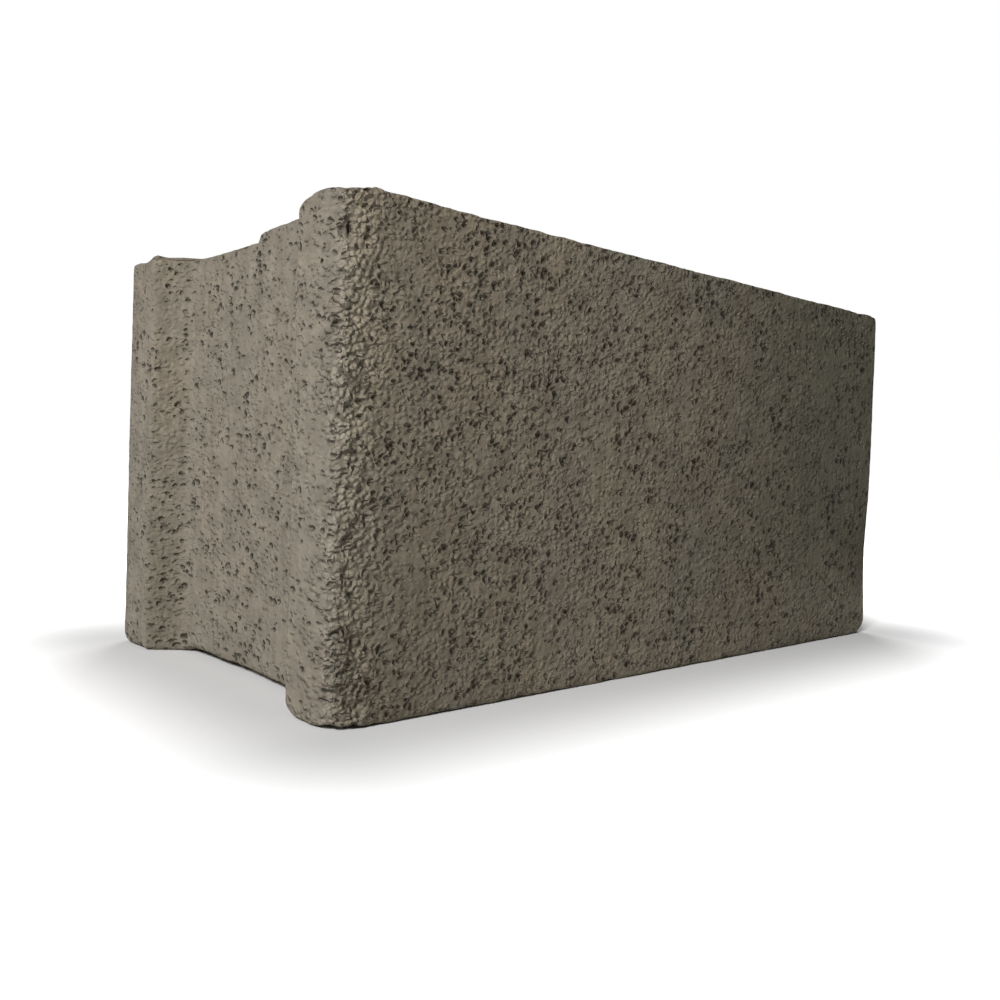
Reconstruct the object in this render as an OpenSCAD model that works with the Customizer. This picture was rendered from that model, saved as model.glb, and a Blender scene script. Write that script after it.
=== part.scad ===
// Hollow concrete masonry block with two tapered cores and recessed, eared ends.
// Length runs along X, width along Y and height along Z.
// The origin is the middle of the bottom bed face. All sizes are in millimetres.

/* [Block] */
// Overall length, ear tip to ear tip
block_length = 390; // [340:1:450]
// Overall width, face to face
block_width = 190; // [170:1:240]
// Overall height, bed face to bed face
block_height = 190; // [90:1:240]
// Radius of the four upright outer corners
corner_radius = 6; // [2:0.5:10]

/* [End recess] */
// Width of each ear, from the block's side to the mouth of the recess
ear_width = 31; // [22:1:38]
// Depth of the recess at the middle of the end
recess_depth = 18; // [14:0.5:22]
// Rise of the recess floor from its middle to its sides
recess_bow = 3; // [1:0.5:4]
// Angle between the ear's inner wall and the end plane, in degrees
ear_wall_angle = 65; // [55:1:80]
// Fillet between the ear's inner wall and the recess floor
recess_fillet = 12; // [6:1:14]
// Rounding of the ear's inner edge
ear_edge_radius = 4; // [1:0.5:6]

/* [Cores] */
// Number of cores in a row along the block
core_count = 2; // [1:1:3]
// Thickness of the two face shells at the bottom bed, where they are thinnest
shell_thickness = 32; // [25:1:45]
// Thickness of the end webs at the bottom bed, measured at the middle of the end
end_web_thickness = 28; // [20:1:40]
// Thickness of the webs between cores at the bottom bed
cross_web_thickness = 28; // [20:1:40]
// Inward slope of every core wall, from the bottom bed to the top bed
core_draft = 4; // [1:0.5:6]
// Radius of the core corners at the bottom bed
core_corner_radius = 30; // [15:1:40]

/* [Hidden] */
$fn = 96;
concrete_colour = [0.49, 0.46, 0.42];
// How far cutting shapes reach past the face that they cut
reach = 5;
// How far a round shape laps over the straight one that it blends into
lap = 0.01;

// Mouth of the end recess
mouth_half_width = block_width / 2 - ear_width;

// Floor of the recess: an arc whose sag over the mouth is the bow
floor_radius = (mouth_half_width ^ 2 + recess_bow ^ 2) / (2 * recess_bow);
floor_centre = [recess_depth - floor_radius, 0];

// Ear wall: a line from the mouth corner, running inwards
mouth_corner = [0, mouth_half_width];
wall_inwards = [sin(ear_wall_angle), -cos(ear_wall_angle)];
wall_normal = [-cos(ear_wall_angle), -sin(ear_wall_angle)];

// Fillet circle: touches the wall line and, from inside, the floor arc.
// Its centre is on the wall line offset by the fillet, at the distance from
// the floor's centre that the two radii leave.
fillet_start = mouth_corner + recess_fillet * wall_normal - floor_centre;
fillet_along = fillet_start * wall_inwards;
fillet_gap = floor_radius - recess_fillet;
fillet_travel = -fillet_along
    + sqrt(fillet_along ^ 2 - fillet_start * fillet_start + fillet_gap ^ 2);
fillet_centre = floor_centre + fillet_start + fillet_travel * wall_inwards;
fillet_on_wall = mouth_corner + fillet_travel * wall_inwards;
fillet_on_floor = floor_centre + (fillet_centre - floor_centre) * floor_radius / fillet_gap;

// Rounded inner edge of the ear: a circle that touches the end plane and the wall
edge_tangent = ear_edge_radius * tan(ear_wall_angle / 2);
edge_on_end = mouth_corner + [0, edge_tangent];
edge_on_wall = mouth_corner + edge_tangent * wall_inwards;
edge_centre = edge_on_end + [ear_edge_radius, 0];

// Cores, measured at the bottom bed
core_span = block_length - 2 * (recess_depth + end_web_thickness);
core_length = (core_span - (core_count - 1) * cross_web_thickness) / core_count;
core_width = block_width - 2 * shell_thickness;
core_pitch = core_length + cross_web_thickness;

// Inset of a core wall at height z, from the draft
function core_inset(z) = core_draft * z / block_height;

// Mirrors a point of the recess to the other ear
function other_ear(point) = [point[0], -point[1]];

// Rectangle with round corners, centred on the origin
module rounded_rectangle(length, width, radius) {
    square([length - 2 * radius, width], center = true);
    square([length, width - 2 * radius], center = true);
    for (x = [-1, 1], y = [-1, 1])
        translate([x * (length / 2 - radius), y * (width / 2 - radius)])
            circle(radius);
}

// Recess of one end, with the end plane at x = 0 and the block on the +x side
module recess_outline() {
    difference() {
        polygon([
            [-reach, edge_on_end[1]], edge_on_end, edge_on_wall, fillet_on_wall, fillet_on_floor,
            other_ear(fillet_on_floor), other_ear(fillet_on_wall), other_ear(edge_on_wall),
            other_ear(edge_on_end), [-reach, -edge_on_end[1]]
        ]);
        for (side = [-1, 1])
            translate([edge_centre[0], side * edge_centre[1]])
                circle(ear_edge_radius + lap);
    }
    for (side = [-1, 1])
        translate([fillet_centre[0], side * fillet_centre[1]])
            circle(recess_fillet + lap);
    intersection() {
        translate(floor_centre)
            circle(floor_radius);
        translate([fillet_on_floor[0], -fillet_on_floor[1]])
            square([recess_bow + reach, 2 * fillet_on_floor[1]]);
    }
}

// Plan of the block without its cores
module block_outline() {
    difference() {
        rounded_rectangle(block_length, block_width, corner_radius);
        for (end = [0, 1])
            mirror([end, 0])
                translate([-block_length / 2, 0])
                    recess_outline();
    }
}

// Upright slab whose two long sides lean in with the core draft
module drafted_slab(length, width) {
    low = -reach;
    high = block_height + reach;
    rotate([90, 0, 0])
        linear_extrude(width, center = true)
            polygon([
                [-length / 2 + core_inset(low), low], [length / 2 - core_inset(low), low],
                [length / 2 - core_inset(high), high], [-length / 2 + core_inset(high), high]
            ]);
}

// One tapered core: two crossed slabs with a cone in each corner
module core() {
    corner_x = core_length / 2 - core_corner_radius;
    corner_y = core_width / 2 - core_corner_radius;
    drafted_slab(core_length, 2 * corner_y);
    rotate([0, 0, 90])
        drafted_slab(core_width, 2 * corner_x);
    for (x = [-corner_x, corner_x], y = [-corner_y, corner_y])
        translate([x, y, -reach])
            cylinder(
                h = block_height + 2 * reach,
                r1 = core_corner_radius - core_inset(-reach),
                r2 = core_corner_radius - core_inset(block_height + reach)
            );
}

// The block: one pressed piece of concrete
module block() {
    color(concrete_colour)
        difference() {
            linear_extrude(block_height)
                block_outline();
            for (i = [0 : core_count - 1])
                translate([(i - (core_count - 1) / 2) * core_pitch, 0, 0])
                    core();
        }
}

block();
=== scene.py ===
"""Hollow concrete block: one closed cast surface with rounded edges, a knobbly worn corner and hollows, in a
procedural dry-cast concrete with sand, pits and draw marks, with painted shade in its pits, hollows and gaps
and on the far part of its front, and painted light on its rough corner, on a plain pale floor."""

import itertools
import math

import bpy
import numpy as np
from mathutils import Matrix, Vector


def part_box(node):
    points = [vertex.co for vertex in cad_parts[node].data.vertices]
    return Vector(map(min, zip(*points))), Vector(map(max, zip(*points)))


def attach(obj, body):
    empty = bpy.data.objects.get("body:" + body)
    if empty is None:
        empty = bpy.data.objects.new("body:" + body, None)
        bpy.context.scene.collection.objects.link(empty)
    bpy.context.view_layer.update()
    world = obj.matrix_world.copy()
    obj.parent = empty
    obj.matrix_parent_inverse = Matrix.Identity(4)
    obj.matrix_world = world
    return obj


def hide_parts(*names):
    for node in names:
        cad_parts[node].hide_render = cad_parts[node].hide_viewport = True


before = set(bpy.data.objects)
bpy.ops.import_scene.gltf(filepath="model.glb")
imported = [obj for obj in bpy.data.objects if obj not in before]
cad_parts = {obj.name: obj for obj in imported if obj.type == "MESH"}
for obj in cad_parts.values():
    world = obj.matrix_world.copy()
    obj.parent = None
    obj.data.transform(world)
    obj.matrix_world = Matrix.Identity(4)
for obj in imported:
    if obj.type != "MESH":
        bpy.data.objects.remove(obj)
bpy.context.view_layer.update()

MM = 0.001

# Overall sizes, from the frame
block_low, block_high = (np.array(corner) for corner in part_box("block"))
LENGTH, WIDTH, HEIGHT = block_high - block_low

# Plan of the outer walls
CORNER_RADIUS = 6 * MM
EAR_WIDTH = 31 * MM
MOUTH = WIDTH / 2 - EAR_WIDTH
RECESS_DEPTH = 18 * MM
RECESS_BOW = 3 * MM
EAR_WALL_ANGLE = math.radians(65)
FILLET_BLEND = 9 * MM
EAR_EDGE_BLEND = 3 * MM

# Cores, at the bottom bed
SHELL_THICKNESS = 32 * MM
END_WEB = 28 * MM
CROSS_WEB = 28 * MM
CORE_DRAFT = 4 * MM
CORE_CORNER_RADIUS = 30 * MM

# Rounding of the edges between walls and beds
ARRIS = 2.2 * MM
ARRIS_STEPS = 4

# Pitch of the surface grid: fine beside corners and edges, coarse on plain faces, and coarser on the back,
# where it changes between two shares of the way round
CORNER_PITCH = 1.0 * MM
EAR_PITCH = 1.3 * MM
FACE_PITCH = 2.3 * MM
BACK_PITCH = 5.5 * MM
ROW_PITCHES = 1.2 * MM, 1.65 * MM
CORE_PITCHES = 2 * MM, 10 * MM
BACK_SHARES = 0.6, 0.72
FINE_REACH = 24 * MM
BED_STEPS = 9
WEB_STEPS = 30
WELD = 0.0001 * MM

# Samples of the curves that the grid is read from
DENSE = 4001
FACE_SAMPLES = 400
CORNER_SAMPLES = 40
END_SAMPLES = 1200
CORE_ARC = 31

# Reach of the rough concrete from its corners and edges, and size of its patches and knobs
NEAR_REACH_FRONT = 13 * MM
NEAR_REACH_END = 8 * MM
CORNER_REACH = 8 * MM
EDGE_REACH = 4 * MM
ROUGH_PATCH = 22 * MM
KNOB_SIZE = 4.6 * MM

# Lumps of the rough concrete in millimetres: height and size, and the seed of their pattern
LUMPS = (
    (1.4, 9, 31),
    (1.1, 4.2, 32),
    (0.7, 2.4, 33),
)

# Knocks and hollows in millimetres: middle, width and depth
HOLLOWS = np.array([
    (-194, -94, 175, 5, 4.5),
    (-193, -95, 84, 3.2, 1.2),
    (-192, -95, 77, 2.6, 0.9),
    (-180, -95, 88, 2.6, 1.0),
    (-171, -95, 101, 3.4, 1.0),
    (-190, -95, 128, 3.5, 1.0),
    (-188, -95, 56, 3.2, 0.9),
    (-186, -95, 150, 3.0, 0.9),
    (-191, -95, 22, 4.0, 1.1),
    (195, -95, 45, 40, 1.4),
])

# Single pits in millimetres: middle, and width along each axis
SINGLE_PITS = (
    ((-193.5, -93.5, 174), (11, 11, 9)),
    ((-193, -95, 84), (4, 4, 4)),
    ((-192, -95, 77), (3, 4, 3)),
    ((-180, -95, 88), (3.4, 4, 3)),
    ((-171, -95, 101), (4, 4, 3)),
    ((-190, -95, 128), (4, 4, 3)),
    ((-188, -95, 56), (4, 4, 3)),
    ((-186, -95, 150), (3.4, 4, 3)),
    ((-191, -95, 22), (4, 4, 4)),
    ((-86.7, -95, 171), (1.6, 3, 4.5)),
    ((-163, -95, 76), (3, 3, 3)),
    ((-174.5, -95, 28), (3, 3, 3)),
    ((-90.7, -95, 74), (2.8, 3, 2.8)),
    ((-101.7, -95, 47.7), (2.6, 3, 2.6)),
    ((-68, -95, 153), (2.6, 3, 2.6)),
    ((-133, -95, 120), (2.6, 3, 2.2)),
    ((-144, -95, 122), (2.4, 3, 2.4)),
    ((-195, -67, 172), (3, 1.6, 4)),
    ((-195, -81, 164.5), (3, 2.4, 2.2)),
)

# Rounding of the worn corners, and how far from its point each reaches
WORN_BLEND = 2.5 * MM
WORN_REACH = 12 * MM

# Worn corners in millimetres: a point on the plane that cuts the corner back, and the way the plane faces
WORN_CORNERS = (
    ((-195, -64, 186), (-0.25, 0.45, 0.86)),
    ((-195, -64, 4), (-0.45, 0.5, -0.74)),
    ((-195, 95, 6), (-0.5, 0.5, -0.7)),
    ((195, -95, 9), (0.55, -0.4, -0.73)),
    ((-195, -95, 186), (-0.5, -0.5, 0.7)),
)

# Colours of the concrete; the last two are painted shade, on the far part of the front and in the pits,
# hollows and gaps
WARM_GREY = (0.228, 0.192, 0.142, 1)
GREENISH_GREY = (0.208, 0.185, 0.142, 1)
END_GREY = (0.250, 0.222, 0.184, 1)
FAR_SHADE_BROWN = (0.108, 0.101, 0.074, 1)
CAVITY_SHADE_BROWN = (0.026, 0.018, 0.010, 1)

# Sizes of the concrete's patterns
MOTTLE_SIZE = 26 * MM
SKIN_SIZE = 18 * MM
BLOTCH_SIZE = 9 * MM
CLUSTER_SIZE = 8 * MM
RIPPLE_SIZE = 3.6 * MM
RIPPLE_REACH = 2.7 * MM
STREAK_SIZE = 3.5 * MM
LARGE_PIT_SIZE = 3.0 * MM
GRAIN_SIZE = 2.5 * MM
LOOSE_GRAIN_SIZE = 2.3 * MM
SMALL_PIT_SIZE = 2.1 * MM
SPECKLE_SIZE = 1.3 * MM

# Heights of the concrete's bump in millimetres
LOOSE_GRAIN_HEIGHT = 2.6
SMALL_PIT_DEPTH = 3.8
LARGE_PIT_DEPTH = 6.0
STREAK_HEIGHT = 0.15

# Floor, light and camera
FLOOR_HALF = 30.0
FLOOR_GREY = (0.8, 0.8, 0.8, 1)
SHADOW_REACH = 0.12
FILL_LIGHT = 0.08
LAMPS = (
    ("key", (-1.7, -0.78, 1.33), 0.55, 45),
    ("back", (0.9, 1.0, 0.9), 0.8, 12),
)
CAMERA_LENS = 33.09
CAMERA_SHIFT = 0.1, -0.0212
CAMERA_PLACE = -371.5 * MM, -354.8 * MM, 96.1 * MM
CAMERA_TURN = 88.722, -1.8, -38.082


def soft_min(first, second, blend):
    """The smaller of two heights, with the crease where they cross rounded off over the blend."""
    share = np.clip(0.5 + (second - first) / (2 * blend), 0, 1)
    return second + (first - second) * share - blend * share * (1 - share)


def smooth_step(value):
    """0 below 0, 1 above 1, and an S-curve between."""
    value = np.clip(value, 0, 1)
    return value * value * (3 - 2 * value)


def recess_depth(y):
    """Depth of an end's recess across the width: the lower of a bowed floor and two steep ear walls,
    with the creases rounded, and nothing on the ears."""
    floor = RECESS_DEPTH - RECESS_BOW * (y / MOUTH) ** 2
    wall = (MOUTH - np.abs(y)) * math.tan(EAR_WALL_ANGLE)
    return -soft_min(-soft_min(wall, floor, FILLET_BLEND), np.zeros_like(y), EAR_EDGE_BLEND)


def path_length(path):
    """Distance along a path of points, at each point."""
    return np.concatenate([[0], np.cumsum(np.linalg.norm(np.diff(path, axis=0), axis=1))])


def graded_steps(total, marks, coarse):
    """Places from 0 to total whose pitch grows from that of each mark to the coarse one away from it.
    A mark is a place and its pitch. The coarse pitch is a pair: the one before the back and the one on it."""
    dense = np.linspace(0, total, DENSE)
    plain = np.interp(dense / total, BACK_SHARES, coarse)
    pitch = plain
    for place, fine in marks:
        pitch = np.minimum(pitch, fine + (plain - fine) * smooth_step(np.abs(dense - place) / FINE_REACH))
    travel = np.concatenate([[0], np.cumsum(np.diff(dense) / pitch[1:])])
    count = int(round(travel[-1]))
    return np.interp(np.linspace(0, travel[-1], count + 1), travel, dense)


def at_places(places, stations, values):
    """Rows of values, given at stations along a path, read at other places along it."""
    return np.stack([np.interp(places, stations, column) for column in values.T], axis=1)


def half_outline():
    """Plan of the left half's outer wall, from the middle of the front round the end to the middle of the
    back: a straight face, a quarter circle, the recessed end, and the same mirrored.
    Returns points, outward normals and stations, which count the half's corners as 1 and 2."""
    turn = np.linspace(0, math.pi / 2, CORNER_SAMPLES)
    corner_x, corner_y = -LENGTH / 2 + CORNER_RADIUS, -WIDTH / 2 + CORNER_RADIUS
    face_x = np.linspace(0, corner_x, FACE_SAMPLES, endpoint=False)
    face = np.stack([face_x, np.full_like(face_x, -WIDTH / 2)], axis=1)
    corner = np.stack([
        corner_x - CORNER_RADIUS * np.sin(turn), corner_y - CORNER_RADIUS * np.cos(turn),
    ], axis=1)
    end_y = np.linspace(corner_y, -corner_y, END_SAMPLES)[1:-1]
    end = np.stack([-LENGTH / 2 + recess_depth(end_y), end_y], axis=1)
    front = np.concatenate([face, corner])
    path = np.concatenate([front, end, (front * (1, -1))[::-1]])

    along = path_length(path)
    tangent = np.gradient(path, along, axis=0)
    normal = np.stack([-tangent[:, 1], tangent[:, 0]], axis=1)
    normal /= np.linalg.norm(normal, axis=1, keepdims=True)

    corner_mark = along[len(face) + len(corner) // 2]
    ear_mark = along[len(front) + np.argmax(end_y > -MOUTH)]
    total = along[-1]
    marks = [
        (corner_mark, CORNER_PITCH), (ear_mark, EAR_PITCH),
        (total - ear_mark, EAR_PITCH), (total - corner_mark, 2 * CORNER_PITCH),
    ]
    places = graded_steps(total, marks, (FACE_PITCH, BACK_PITCH))
    stations = np.interp(places, [0, corner_mark, total - corner_mark, total], [0, 1, 2, 3])
    return at_places(places, along, path), at_places(places, along, normal), stations


def core_outline(stations):
    """Plan of the left core at the bottom bed: a rounded rectangle, read at stations that count its corners
    from the one beside the cross web, in the same sense as the outer wall. Returns points and normals."""
    core_length = LENGTH / 2 - RECESS_DEPTH - END_WEB - CROSS_WEB / 2
    centre_x = -(CROSS_WEB + core_length) / 2
    half_x = core_length / 2 - CORE_CORNER_RADIUS
    half_y = WIDTH / 2 - SHELL_THICKNESS - CORE_CORNER_RADIUS
    angle = -np.radians(np.concatenate([np.linspace(90 * k, 90 * k + 90, CORE_ARC) for k in range(5)]))
    normal = np.stack([np.cos(angle), np.sin(angle)], axis=1)
    corner_x = np.repeat([1, -1, -1, 1, 1], CORE_ARC) * half_x + centre_x
    corner_y = np.repeat([-1, -1, 1, 1, -1], CORE_ARC) * half_y
    path = np.stack([corner_x, corner_y], axis=1) + CORE_CORNER_RADIUS * normal
    along = path_length(path)
    halfway = CORE_ARC // 2
    counted = np.interp(along, along[halfway::CORE_ARC], np.arange(5))
    kept = slice(halfway, -halfway)
    return at_places(stations, counted[kept], path[kept]), at_places(stations, counted[kept], normal[kept])


def wall_profile(fine, coarse):
    """Section of an upright wall from bed to bed: inset and height of each row, with both edges rounded."""
    turn = np.linspace(0, math.pi / 2, ARRIS_STEPS + 1)
    inset, rise = ARRIS * (1 - np.sin(turn)), ARRIS * (1 - np.cos(turn))
    plain = HEIGHT - 2 * ARRIS
    height = ARRIS + graded_steps(plain, [(0, fine), (plain, fine)], (coarse, coarse))
    insets = np.concatenate([inset, np.zeros(len(height) - 2), inset[::-1]])
    heights = np.concatenate([rise, height[1:-1], HEIGHT - rise[::-1]])
    return insets, heights


def raise_rows(plan_rows, heights):
    """Grid of points from one plan row and one height for each row of the grid."""
    rows = np.broadcast_to(np.asarray(heights)[:, None, None], plan_rows.shape[:2] + (1,))
    return np.concatenate([plan_rows, rows], axis=2)


def grid_quads(rows, columns, first):
    """Corner numbers of a grid's quads, counted from first, going up the rows and then along the columns."""
    start = first + (np.arange(rows - 1)[:, None] * columns + np.arange(columns - 1)).ravel()
    return np.stack([start, start + columns, start + columns + 1, start + 1], axis=1)


def half_grids():
    """The left half's four grids: outer wall up, top bed inwards, core wall down, bottom bed outwards.
    The beds are straight between the rounded edges of the wall and of the core."""
    wall, wall_normal, wall_stations = half_outline()
    web_y = np.linspace(1, -1, WEB_STEPS + 1)[1:] * (WIDTH / 2 - ARRIS)
    web = np.stack([np.zeros_like(web_y), web_y], axis=1)
    rim = np.concatenate([wall - ARRIS * wall_normal, web])
    stations = np.concatenate([wall_stations, np.linspace(3, 4, WEB_STEPS + 1)[1:]])
    core, core_normal = core_outline(stations)

    insets, heights = wall_profile(*ROW_PITCHES)
    outer = raise_rows(wall - insets[:, None, None] * wall_normal, heights)

    insets, heights = (values[::-1] for values in wall_profile(*CORE_PITCHES))
    core_rows = core + (insets - CORE_DRAFT * heights / HEIGHT)[:, None, None] * core_normal
    inner = raise_rows(core_rows, heights)

    share = (1 - np.cos(np.linspace(0, math.pi, BED_STEPS + 1)))[:, None, None] / 2
    top = raise_rows(rim + share * (inner[0, :, :2] - rim), np.full(BED_STEPS + 1, HEIGHT))
    bottom = raise_rows(inner[-1, :, :2] + share * (rim - inner[-1, :, :2]), np.zeros(BED_STEPS + 1))
    return outer, top, inner, bottom


def weld(points, quads):
    """Makes coincident points one, so that the grids close to a single surface."""
    keys = np.round(points / WELD).astype(np.int64)
    _, kept, renumbered = np.unique(keys, axis=0, return_index=True, return_inverse=True)
    return points[kept], renumbered.reshape(-1)[quads]


def block_surface():
    """Plain surface of the whole block: the left half's grids and their mirror image, welded."""
    points, quads, count = [], [], 0
    for grid in half_grids():
        rows, columns = grid.shape[:2]
        for side in (1, -1):
            points.append(grid.reshape(-1, 3) * (side, 1, 1))
            quads.append(grid_quads(rows, columns, count)[:, ::side])
            count += rows * columns
    return weld(np.concatenate(points), np.concatenate(quads))


def surface_normals(points, quads):
    """Unit normal at each point: the sum of the normals of the quads round it, by area."""
    a, b, c, d = (points[quads[:, k]] for k in range(4))
    facing = np.cross(c - a, d - b)
    total = np.stack([
        np.bincount(quads.ravel(), np.repeat(facing[:, k], 4), len(points)) for k in range(3)
    ], axis=1)
    return total / np.linalg.norm(total, axis=1, keepdims=True)


def cell_random(cells, seed):
    """A repeatable random number from 0 to 1 for each whole-numbered cell."""
    x, y, z = (cells[:, k].astype(np.int64).astype(np.uint32) for k in range(3))
    mixed = x * np.uint32(374761393) + y * np.uint32(668265263) + z * np.uint32(2246822519)
    mixed = mixed + np.uint32(seed * 2654435761 % 2 ** 32)
    mixed = (mixed ^ (mixed >> np.uint32(15))) * np.uint32(2246822507)
    mixed = (mixed ^ (mixed >> np.uint32(13))) * np.uint32(3266489909)
    return (mixed ^ (mixed >> np.uint32(16))) / 2.0 ** 32


def smooth_noise(points, size, seed):
    """Random field from -1 to 1: random values at the corners of cells of that size, blended smoothly."""
    scaled = points / size
    cell = np.floor(scaled)
    share = smooth_step(scaled - cell)
    total = np.zeros(len(points))
    for corner in itertools.product((0, 1), repeat=3):
        weight = np.prod(np.where(corner, share, 1 - share), axis=1)
        total += weight * cell_random(cell + corner, seed)
    return 2 * total - 1


def nearest_seed(points, size, seed):
    """Distance, in cells of that size, from each point to the nearest of one random seed in each cell."""
    scaled = points / size
    cell = np.floor(scaled)
    nearest = np.full(len(points), 9.0)
    for offset in itertools.product((-1, 0, 1), repeat=3):
        near = cell + offset
        centre = near + np.stack([cell_random(near, seed + k) for k in range(3)], axis=1)
        nearest = np.minimum(nearest, np.linalg.norm(scaled - centre, axis=1))
    return nearest


def hill(distance, width):
    """1 at no distance, falling smoothly to nothing past about twice the width."""
    return np.exp(-(distance / width) ** 2)


def wall_distance(points):
    """Distance in plan from the outer walls: the nearer of the long faces and the recessed ends."""
    x, y, _ = points.T
    end = np.where(np.abs(y) < MOUTH, recess_depth(y), 0)
    return np.minimum(WIDTH / 2 - np.abs(y), LENGTH / 2 - end - np.abs(x))


def roughness_zone(points):
    """How knobbly the concrete is, from 0 to 1: most along the near upright corner, less at the other
    corners, at the ears and along the outer edges of the beds, and uneven along all of them."""
    x, y, z = points.T
    beside = np.where(y < -WIDTH / 2 + CORNER_RADIUS, NEAR_REACH_FRONT, NEAR_REACH_END)
    near = hill(np.hypot(x + LENGTH / 2 - 4 * MM, y + WIDTH / 2), beside)
    corner = hill(np.hypot(LENGTH / 2 - np.abs(x), WIDTH / 2 - np.abs(y)), CORNER_REACH)
    ear = hill(np.hypot(LENGTH / 2 - np.abs(x), MOUTH - np.abs(y)), EDGE_REACH)
    bed = hill(np.hypot(np.minimum(z, HEIGHT - z), wall_distance(points)), EDGE_REACH)
    zone = np.maximum(near, 0.1 * corner) + 0.12 * ear + 0.2 * bed
    return np.clip(zone * (0.85 + 0.5 * smooth_noise(points, ROUGH_PATCH, 11)), 0, 1)


def relief(points):
    """How far the surface is set back along its normals, how rough it is and how much painted shade it gets
    in its hollows, the last two from 0 to 1. On plain faces it is nearly as flat as the mould. Where it is
    rough, round knobs stand out of a sunk and lumpy matrix. The near corner is worn rounder, and single
    hollows are added as round dips."""
    rough = roughness_zone(points)
    flat = 0.12 * (1 + smooth_noise(points * (1, 1, 0.4), 38 * MM, 21))
    lumpy = sum(height * smooth_noise(points, size * MM, seed) for height, size, seed in LUMPS)
    between = np.minimum(nearest_seed(points, KNOB_SIZE, 41) ** 2, 0.6)
    matrix = np.maximum(1.1 + lumpy + 2.1 * between, 0)
    from_corner = np.hypot(points[:, 0] + LENGTH / 2 - 2 * MM, points[:, 1] + WIDTH / 2 - 2 * MM)
    rounded = 1.6 * hill(from_corner, 7 * MM)
    dips = np.zeros(len(points))
    for x, y, z, width, depth in HOLLOWS:
        away = np.linalg.norm(points - np.array((x, y, z)) * MM, axis=1)
        dips += depth * hill(away, width * MM / 1.4)
    # Painted shade for the hollows: strongest where the rough matrix sinks deep and in the single hollows.
    hollow_shade = smooth_step((rough * (matrix - 2.4) + dips) / 2.6)
    return (flat + rough * matrix + rounded + dips) * MM, rough, hollow_shade


def cut_back(points, at, facing, blend, reach):
    """Moves points near a place that stand beyond a plane through it back to the plane, with a rounded
    start."""
    beyond = (points - at) @ facing
    share = np.clip(0.5 + beyond / (2 * blend), 0, 1)
    past = np.where(beyond > blend, beyond, blend * share * share)
    near = smooth_step(2 - np.linalg.norm(points - at, axis=1) / reach)
    return points - (near * past)[:, None] * facing


def edge_wear(points):
    """Rise of the left end's top and bottom edges. The top is worn low over the far part of the recess and on
    the far ear, with a low lip of spilt concrete over the near part, and rises at the near corner. The far
    ear has a sharper edge and a crumb on it. The bottom is broken out between the ears."""
    x, y, z = (points / MM).T
    left = x < -150
    below = HEIGHT / MM - z
    edge = hill(wall_distance(points) / MM, 7) * left
    top, bottom = smooth_step((z - 176) / 14), smooth_step((12 - z) / 12)
    far_side = smooth_step((y + 5) / 2.5)
    lip = smooth_step((y + 42) / 8) * (1 - far_side)
    low = far_side * (2.2 + 1.6 * hill(y - 68, 9) - 0.6 * smooth_step((y - 62) / 30))
    crumb = 3.2 * hill(np.hypot(x + 192, y - 69), 3.6)
    corner = 1.5 * hill(np.hypot(x + 183, y + 88), 16)
    sharp = 0.8 * np.maximum(below, 0) * (1 - smooth_step(below / 4.5)) * smooth_step((y - 58) / 8) * left
    broken = smooth_step((56 - np.abs(y)) / 8) * (2.4 + 0.6 * smooth_noise(points, 12 * MM, 61))
    return (top * (edge * (1.7 * lip - low) + crumb + corner) + sharp + bottom * edge * broken) * MM


def face_marks(points, normals):
    """How far each point is on an end, how calm its surface is, how much painted shade it gets, and how far
    it is on an ear's inner wall, all from 0 to 1. Ends and ear walls are calm, less so towards the near
    corner. The front gets painted shade along its far part, less at the foot, and is darkened a little at its
    near foot."""
    x, y, z = points.T
    front, end = smooth_step(-normals[:, 1]), np.abs(normals[:, 0])
    foot = smooth_step((60 * MM - z) / (40 * MM))
    # Painted shade, strongest at the far end of the front and weaker at its foot.
    far_shade = smooth_step((x + 80 * MM) / (240 * MM)) * (1 - 0.55 * foot)
    near_foot = smooth_step((90 * MM - z) / (60 * MM))
    # Darkened a little at the near foot of the front.
    near_foot_darkening = 0.33 * near_foot * (1 - smooth_step((x + 190 * MM) / (130 * MM)))
    painted_shade = front * np.maximum(far_shade, near_foot_darkening)
    in_recess = np.abs(x) > LENGTH / 2 - 1.2 * RECESS_DEPTH
    ear_wall = hill(MOUTH - 4 * MM - np.abs(y), 6 * MM) * in_recess
    calm = np.maximum(end, ear_wall) * (0.3 + 0.7 * smooth_step((y + WIDTH / 2) / (32 * MM)))
    return end, calm, painted_shade, ear_wall


def make_block():
    """The cast block: its plain surface with the relief, the worn corners and the worn edges, and with the
    marks that its finish reads."""
    points, quads = block_surface()
    normals = surface_normals(points, quads)
    depth, rough, hollow_shade = relief(points)
    end, calm, painted_shade, ear_wall = face_marks(points, normals)
    rough = np.maximum(rough, 0.15 * ear_wall)
    rise = edge_wear(points)
    for at, facing in WORN_CORNERS:
        facing = np.array(facing) / np.linalg.norm(facing)
        points = cut_back(points, np.array(at) * MM, facing, WORN_BLEND, WORN_REACH)
    points = points - depth[:, None] * normals
    points[:, 2] = np.maximum(points[:, 2] + rise, 0)

    mesh = bpy.data.meshes.new("cast_block")
    mesh.from_pydata(points, [], quads)
    mesh.shade_smooth()
    # Two of these marks carry painted shade: one for the hollows of rough places, one for the far part of the
    # front.
    marks = {"rough": rough, "hollow_shade": hollow_shade, "end": end, "calm": calm, "painted_shade": painted_shade}
    for name, values in marks.items():
        attribute = mesh.attributes.new(name, "FLOAT", "POINT")
        attribute.data.foreach_set("value", values.astype(np.float32))
    block = bpy.data.objects.new("cast_block", mesh)
    bpy.context.scene.collection.objects.link(block)
    return block


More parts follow.
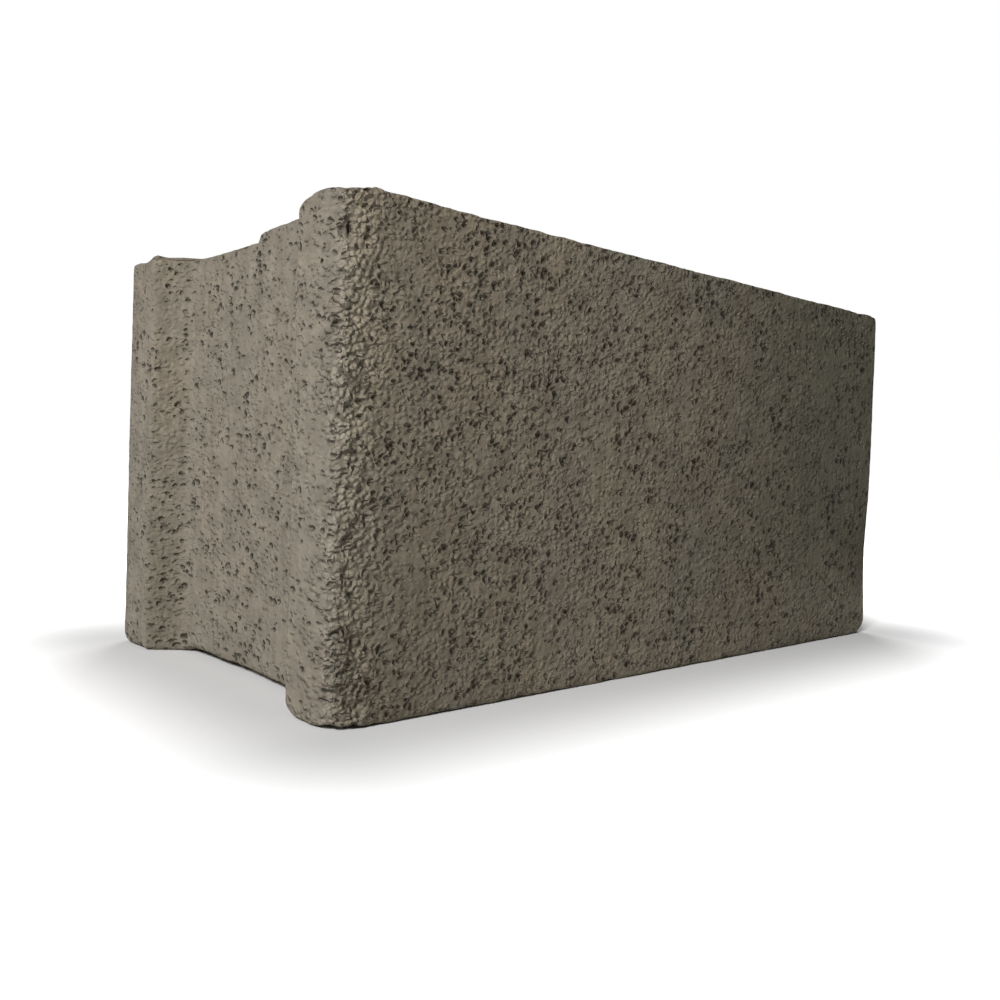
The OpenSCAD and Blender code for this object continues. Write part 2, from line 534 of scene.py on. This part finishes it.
class Nodes:
    """Node tree of one material, with short calls for the nodes that the finishes share."""

    def __init__(self, name):
        self.material = bpy.data.materials.new(name)
        self.material.use_nodes = True
        self.tree = self.material.node_tree
        self.tree.nodes.clear()

    def add(self, kind, inputs=None, **settings):
        """A node with its settings; an input is a number, a colour or another node's output."""
        node = self.tree.nodes.new(kind)
        for name, value in settings.items():
            setattr(node, name, value)
        for name, value in (inputs or {}).items():
            if isinstance(value, bpy.types.NodeSocket):
                self.tree.links.new(value, node.inputs[name])
            else:
                node.inputs[name].default_value = value
        return node

    def math(self, operation, first, second=0.0):
        return self.add("ShaderNodeMath", {0: first, 1: second}, operation=operation).outputs[0]

    def spread(self, value, low, high, to_low=0.0, to_high=1.0):
        """The value carried from one range to another along an S-curve, and held at its ends."""
        limits = {"Value": value, "From Min": low, "From Max": high, "To Min": to_low, "To Max": to_high}
        return self.add("ShaderNodeMapRange", limits, interpolation_type="SMOOTHSTEP").outputs[0]

    def noise(self, place, size, detail=2.0, roughness=0.5):
        settings = {"Vector": place, "Scale": 1 / size, "Detail": detail, "Roughness": roughness}
        return self.add("ShaderNodeTexNoise", settings)

    def cells(self, place, size):
        return self.add("ShaderNodeTexVoronoi", {"Vector": place, "Scale": 1 / size})

    def blend(self, share, first, second, mode="MIX"):
        inputs = {0: share, 6: first, 7: second}
        return self.add("ShaderNodeMix", inputs, data_type="RGBA", blend_type=mode).outputs[2]

    def shift(self, place, by):
        return self.add("ShaderNodeVectorMath", {0: place, 1: by}, operation="ADD").outputs[0]

    def stretch(self, place, scale):
        return self.add("ShaderNodeVectorMath", {0: place, 1: scale}, operation="MULTIPLY").outputs[0]

    def attribute(self, name):
        return self.add("ShaderNodeAttribute", attribute_name=name).outputs["Fac"]


def pits(nodes, place, size, narrow, wide, crowding):
    """Depth of the pits and height of the sand grains, from 0 to 1. Each cell has a pit at its middle, with a
    random width from narrow to wide, in cells, and a random depth, greater where the crowding is above 0. A
    grain stands there instead as far as there is no pit."""
    cell = nodes.cells(place, size)
    chance = nodes.add("ShaderNodeSeparateColor", {"Color": cell.outputs["Color"]}).outputs
    strength = nodes.spread(nodes.math("ADD", chance[0], crowding), 0.22, 0.95)
    radius = nodes.spread(chance[1], 0.0, 1.0, narrow, wide)
    bowl = nodes.spread(nodes.math("DIVIDE", cell.outputs["Distance"], radius), 0.1, 1.0, 1.0, 0.0)
    dome = nodes.spread(cell.outputs["Distance"], 0.0, 0.7, 1.0, 0.0)
    grains = nodes.math("MULTIPLY", dome, nodes.math("SUBTRACT", 1.0, strength))
    return nodes.math("MULTIPLY", bowl, strength), grains


def placed_pit(nodes, place, at, size):
    """Depth, from 0 to 1, of a single pit at a place, as wide as the size along each axis. Place and size are
    in millimetres."""
    middle = nodes.shift(place, tuple(-value * MM for value in at))
    scaled = nodes.stretch(middle, tuple(2 / (value * MM) for value in size))
    away = nodes.add("ShaderNodeVectorMath", {0: scaled}, operation="LENGTH").outputs["Value"]
    return nodes.spread(away, 0.2, 1.0, 1.0, 0.0)


def make_concrete():
    """Dry-cast concrete: warm grey-brown with greenish mottling, pressed flat while damp, so that its grain,
    sand and pits are wider than tall, and a little larger towards the far end. Single larger pits, smooth
    smeared skin and faint upright draw marks lie between them. The calm ends are smoother. The deeper parts
    of the pits get painted shade. Rough places show round loose grains with painted shade in the gaps between
    them, and are painted paler, as painted light against their knobs' shade. The far part of the front gets
    painted shade. Heights for the bump are in millimetres."""
    nodes = Nodes("concrete")
    place = nodes.add("ShaderNodeTexCoord").outputs["Object"]
    rough, hollow_shade = nodes.attribute("rough"), nodes.attribute("hollow_shade")
    end, calm, painted_shade = nodes.attribute("end"), nodes.attribute("calm"), nodes.attribute("painted_shade")
    drawn = nodes.stretch(place, (1, 1, 0.07))
    smeared = nodes.stretch(place, (1, 1, 0.45))
    along = nodes.add("ShaderNodeSeparateXYZ", {"Vector": place}).outputs["X"]
    larger = nodes.spread(along, -LENGTH / 2, LENGTH / 2, 1.0, 0.8)
    pressed = nodes.add("ShaderNodeVectorMath", {0: place, "Scale": larger}, operation="SCALE").outputs[0]
    pressed = nodes.stretch(pressed, (0.72, 0.72, 1.0))
    ripple = nodes.shift(nodes.noise(pressed, RIPPLE_SIZE, 1).outputs["Color"], (-0.5, -0.5, -0.5))
    ripple = nodes.stretch(ripple, (RIPPLE_REACH, RIPPLE_REACH, RIPPLE_REACH))
    ragged = nodes.shift(pressed, ripple)
    rippled = nodes.shift(place, ripple)

    mottle = nodes.noise(smeared, MOTTLE_SIZE, 3).outputs["Fac"]
    blotch = nodes.noise(place, BLOTCH_SIZE, 4, 0.6).outputs["Fac"]
    speckle = nodes.noise(pressed, SPECKLE_SIZE, 1).outputs["Fac"]
    streak = nodes.noise(drawn, STREAK_SIZE, 2).outputs["Fac"]
    grain = nodes.math("SUBTRACT", nodes.noise(pressed, GRAIN_SIZE, 1).outputs["Fac"], 0.5)
    nudged = nodes.shift(place, nodes.stretch(ripple, (0.56, 0.56, 0.56)))
    from_grain = nodes.cells(nudged, LOOSE_GRAIN_SIZE).outputs["Distance"]
    loose = nodes.spread(from_grain, 0.0, 0.8, 0.5, -0.5)
    # Painted shade in the gaps between loose grains where the concrete is rough.
    gaps = nodes.math("MULTIPLY", nodes.spread(from_grain, 0.5, 0.85, 0.0, 0.75), rough)
    cluster = nodes.noise(pressed, CLUSTER_SIZE, 2).outputs["Fac"]
    skin = nodes.spread(nodes.noise(smeared, SKIN_SIZE, 2).outputs["Fac"], 0.5, 0.68)
    skin = nodes.math("MULTIPLY", skin, nodes.spread(rough, 0.05, 0.4, 1.0, 0.0))
    open_skin = nodes.math("SUBTRACT", 1.0, nodes.math("MULTIPLY", skin, 0.65))
    packed = nodes.math("SUBTRACT", 1.0, nodes.math("MULTIPLY", rough, 0.15))
    packed = nodes.math("MULTIPLY", packed, open_skin)
    fine = nodes.math("MULTIPLY", packed, nodes.spread(calm, 0.2, 1.0, 1.0, 0.32))
    fine = nodes.math("MULTIPLY", fine, nodes.spread(painted_shade, 0.0, 1.0, 1.0, 0.8))
    wide = nodes.math("MULTIPLY", packed, nodes.spread(calm, 0.2, 1.0, 1.0, 0.9))

    crowding = nodes.spread(cluster, 0.2, 0.8, -0.36, 0.36)
    small, sand = pits(nodes, ragged, SMALL_PIT_SIZE, 0.22, 0.7, crowding)
    crowding = nodes.math("MULTIPLY", crowding, 2.0)
    middling, _ = pits(nodes, ragged, LARGE_PIT_SIZE, 0.17, 0.56, crowding)
    single = 0.0
    for at, size in SINGLE_PITS:
        single = nodes.math("MAXIMUM", single, placed_pit(nodes, rippled, at, size))
    small = nodes.math("MULTIPLY", small, fine)
    large = nodes.math("MAXIMUM", nodes.math("MULTIPLY", middling, wide), single)
    deepest = nodes.math("MAXIMUM", small, large)

    base = nodes.blend(nodes.spread(mottle, 0.3, 0.7), WARM_GREY, GREENISH_GREY)
    base = nodes.blend(nodes.math("MULTIPLY", end, 0.6), base, END_GREY)
    # Painted shade, browner and darker, over the far part of the front and a little at its near foot.
    base = nodes.blend(nodes.math("MULTIPLY", painted_shade, 0.9), base, FAR_SHADE_BROWN)
    shade = nodes.spread(blotch, 0.25, 0.75, 0.84, 1.16)
    shade = nodes.math("MULTIPLY", shade, nodes.spread(streak, 0.3, 0.7, 0.95, 1.05))
    shade = nodes.math("MULTIPLY", shade, nodes.spread(speckle, 0.5, 0.85, 0.98, 1.15))
    # Painted light: rough places are made paler, to offset the shade that their knobs cast.
    shade = nodes.math("MULTIPLY", shade, nodes.spread(rough, 0.1, 0.8, 1.0, 1.42))
    tone = nodes.add("ShaderNodeCombineColor", {0: shade, 1: shade, 2: shade}).outputs[0]
    colour = nodes.blend(1.0, base, tone, "MULTIPLY")
    # Painted shade in a deep brown: in the deeper parts of the pits, less on calm faces, and in the sunk
    # hollows and grain gaps of rough places.
    cavity_shade = nodes.spread(deepest, 0.64, 0.9, 0.0, 0.9)
    cavity_shade = nodes.math("MULTIPLY", cavity_shade, nodes.spread(calm, 0.2, 1.0, 1.0, 0.48))
    cavity_shade = nodes.math("MAXIMUM", cavity_shade, nodes.math("MULTIPLY", hollow_shade, 0.7))
    cavity_shade = nodes.math("MAXIMUM", cavity_shade, gaps)
    colour = nodes.blend(cavity_shade, colour, CAVITY_SHADE_BROWN)

    sandy = nodes.math("MULTIPLY", open_skin, nodes.spread(calm, 0.1, 1.0, 1.0, 0.5))
    sand_height = nodes.math("ADD", rough, nodes.math("MULTIPLY", end, 0.5))
    sandy = nodes.math("MULTIPLY", sandy, nodes.math("ADD", 1.1, sand_height))
    height = nodes.math("MULTIPLY", grain, fine)
    height = nodes.math("ADD", height, nodes.math("MULTIPLY", sand, sandy))
    loose = nodes.math("MULTIPLY", loose, nodes.math("MULTIPLY", rough, LOOSE_GRAIN_HEIGHT))
    height = nodes.math("ADD", height, loose)
    height = nodes.math("SUBTRACT", height, nodes.math("MULTIPLY", small, SMALL_PIT_DEPTH))
    height = nodes.math("SUBTRACT", height, nodes.math("MULTIPLY", large, LARGE_PIT_DEPTH))
    height = nodes.math("ADD", height, nodes.math("MULTIPLY", streak, STREAK_HEIGHT))
    bump = nodes.add("ShaderNodeBump", {"Strength": 1.0, "Distance": MM, "Height": height})
    finish = {"Base Color": colour, "Roughness": 0.92, "Specular IOR Level": 0.04, "Normal": bump.outputs[0]}
    shader = nodes.add("ShaderNodeBsdfPrincipled", finish)
    nodes.add("ShaderNodeOutputMaterial", {"Surface": shader.outputs[0]})
    return nodes.material


def make_floor():
    """Pale floor. Where the camera, gloss or glass sees it, it adds a glow of its own, so that it reads white
    away from the block. Beside the block the glow fades out, which paints a soft shade round the block's
    foot, and the contact shadow shows."""
    corners = [(x * FLOOR_HALF, y * FLOOR_HALF, 0) for x, y in ((-1, -1), (1, -1), (1, 1), (-1, 1))]
    mesh = bpy.data.meshes.new("floor")
    mesh.from_pydata(corners, [], [(0, 1, 2, 3)])
    floor = bpy.data.objects.new("floor", mesh)
    bpy.context.scene.collection.objects.link(floor)
    nodes = Nodes("pale_floor")
    place = nodes.add("ShaderNodeTexCoord").outputs["Object"]
    apart = nodes.add("ShaderNodeVectorMath", {0: place}, operation="ABSOLUTE").outputs["Vector"]
    apart = nodes.shift(apart, (-LENGTH / 2, -WIDTH / 2, 0))
    apart = nodes.add("ShaderNodeVectorMath", {0: apart, 1: (0, 0, 0)}, operation="MAXIMUM").outputs["Vector"]
    away = nodes.add("ShaderNodeVectorMath", {0: apart}, operation="LENGTH").outputs["Value"]
    diffuse = nodes.add("ShaderNodeBsdfDiffuse", {"Color": FLOOR_GREY})
    light_path = nodes.add("ShaderNodeLightPath").outputs
    seen = nodes.math("MAXIMUM", light_path["Is Camera Ray"], light_path["Is Glossy Ray"])
    seen = nodes.math("MAXIMUM", seen, light_path["Is Transmission Ray"])
    # The glow fades out beside the block: painted shade round its foot.
    strength = nodes.math("MULTIPLY", seen, nodes.spread(away, 0.0, SHADOW_REACH))
    glow = nodes.add("ShaderNodeEmission", {"Strength": strength})
    both = nodes.add("ShaderNodeAddShader", {0: diffuse.outputs[0], 1: glow.outputs[0]})
    nodes.add("ShaderNodeOutputMaterial", {"Surface": both.outputs[0]})
    mesh.materials.append(nodes.material)


def make_world():
    """Even fill light, with a white backdrop where the camera, gloss or glass sees it."""
    world = bpy.data.worlds.new("studio")
    bpy.context.scene.world = world
    world.use_nodes = True
    tree = world.node_tree
    background = tree.nodes["Background"]
    seen = tree.nodes.new("ShaderNodeLightPath").outputs
    shown = seen["Is Camera Ray"]
    for ray in ("Is Glossy Ray", "Is Transmission Ray"):
        either = tree.nodes.new("ShaderNodeMath")
        either.operation = "MAXIMUM"
        tree.links.new(shown, either.inputs[0])
        tree.links.new(seen[ray], either.inputs[1])
        shown = either.outputs[0]
    strength = tree.nodes.new("ShaderNodeMapRange")
    strength.inputs["To Min"].default_value = FILL_LIGHT
    strength.inputs["To Max"].default_value = 1.0
    tree.links.new(shown, strength.inputs["Value"])
    tree.links.new(strength.outputs[0], background.inputs["Strength"])
    background.inputs["Color"].default_value = (1, 1, 1, 1)


def make_lamp(name, place, target, size, power):
    """Square soft lamp that faces its target."""
    light = bpy.data.lights.new(name, "AREA")
    light.size = size
    light.energy = power
    lamp = bpy.data.objects.new(name, light)
    lamp.location = place
    facing = Vector(target) - Vector(place)
    lamp.rotation_euler = facing.to_track_quat("-Z", "Y").to_euler()
    bpy.context.scene.collection.objects.link(lamp)


def make_camera():
    """Camera at the photograph's place, just in front of the near corner at half the block's height."""
    camera = bpy.data.cameras.new("camera")
    camera.lens = CAMERA_LENS
    camera.sensor_width = 36
    camera.shift_x, camera.shift_y = CAMERA_SHIFT
    camera.clip_start = 0.01
    holder = bpy.data.objects.new("camera", camera)
    holder.location = CAMERA_PLACE
    holder.rotation_euler = [math.radians(turn) for turn in CAMERA_TURN]
    bpy.context.scene.collection.objects.link(holder)
    bpy.context.scene.camera = holder


block = make_block()
block.data.materials.append(make_concrete())
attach(block, "root")
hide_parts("block")

make_floor()
make_world()
for name, place, size, power in LAMPS:
    make_lamp(name, place, (0, 0, HEIGHT / 2), size, power)
make_camera()
bpy.context.scene.view_settings.view_transform = "Standard"
